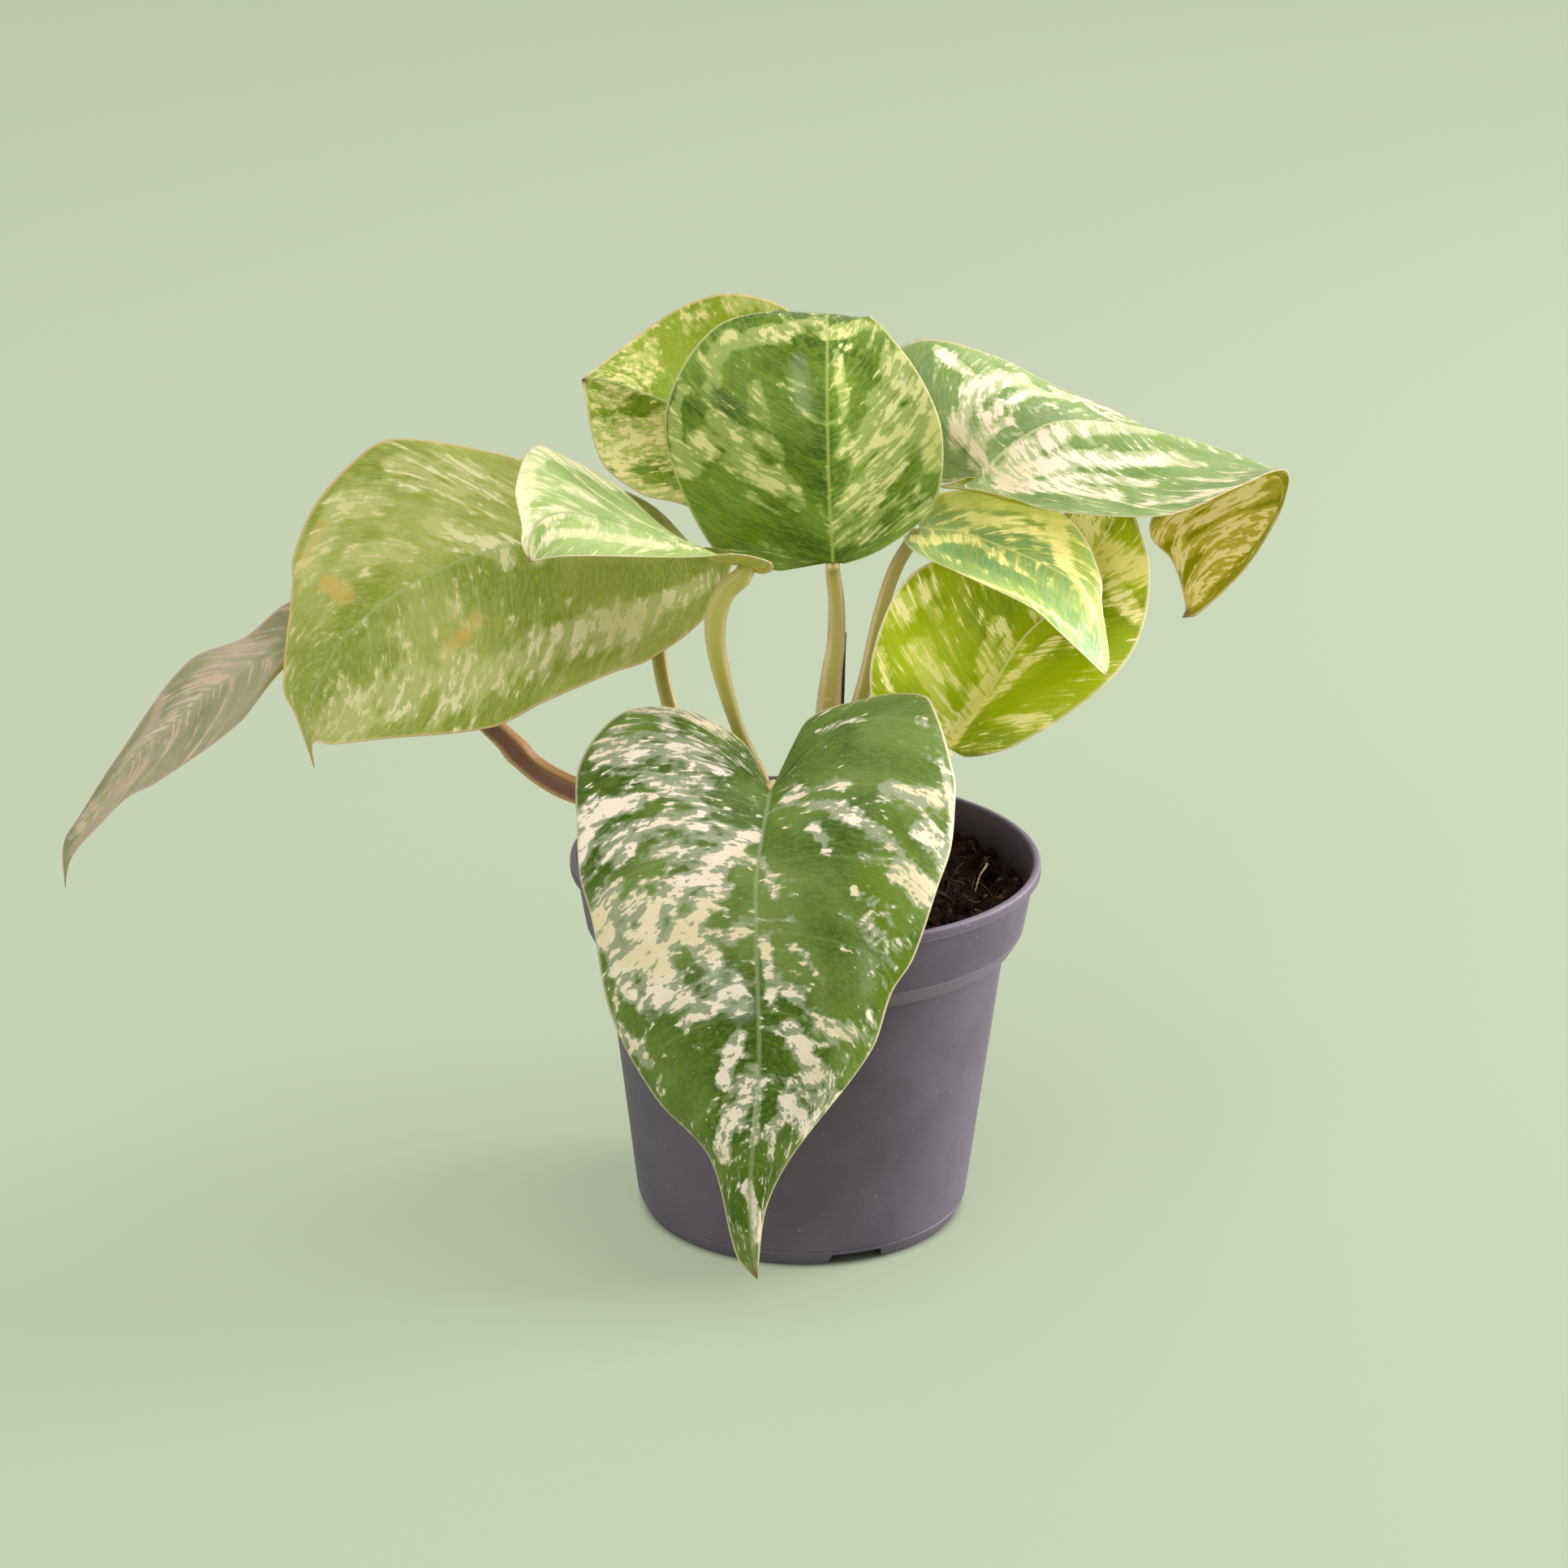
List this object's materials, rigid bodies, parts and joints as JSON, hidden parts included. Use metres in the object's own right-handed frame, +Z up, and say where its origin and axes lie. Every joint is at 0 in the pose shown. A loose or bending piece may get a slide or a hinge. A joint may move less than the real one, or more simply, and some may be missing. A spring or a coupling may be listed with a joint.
{
  "type": "potted marble queen pothos plant",
  "caption": "Small potted pothos with marbled cream and green heart-shaped leaves on slender petioles, a brown runner, dark coir soil and a purple-grey plastic nursery pot.",
  "frame": {"origin": "middle of the flat underside of the pot, on the surface that it stands on", "axes": "+Z up along the pot's axis; -Y towards the front, where the large front leaf hangs over the rim; +X to the right seen from the front"},
  "size_m": [0.3183, 0.1638, 0.23],
  "materials": {
    "pot_plastic": "matte purple-grey moulded plastic with a fine grain",
    "soil": "dark brown coir mix, crumbly, with reddish fibres",
    "stem": "smooth olive-green living stem with a soft sheen",
    "petiole": "smooth grooved olive-beige petiole with a soft sheen",
    "runner": "brown corky runner with a groove and a purple stripe",
    "leaf": "waxy satin blade, green marbled with cream, pale midrib and margin"
  },
  "bodies": {
    "root": {"pot": "pot_plastic", "soil": "soil", "main_stem": "stem", "runner_stem": "runner", "petiole_front": "petiole", "petiole_inner_left": "petiole", "petiole_left": "petiole", "petiole_back_right": "petiole", "petiole_low_right": "petiole", "leaf_front": "leaf", "leaf_centre": "leaf", "leaf_back": "leaf", "leaf_back_right": "leaf", "leaf_right": "leaf", "leaf_low_right": "leaf", "leaf_left": "leaf", "leaf_far_left": "leaf", "leaf_inner_left": "leaf"}
  },
  "joints": []
}
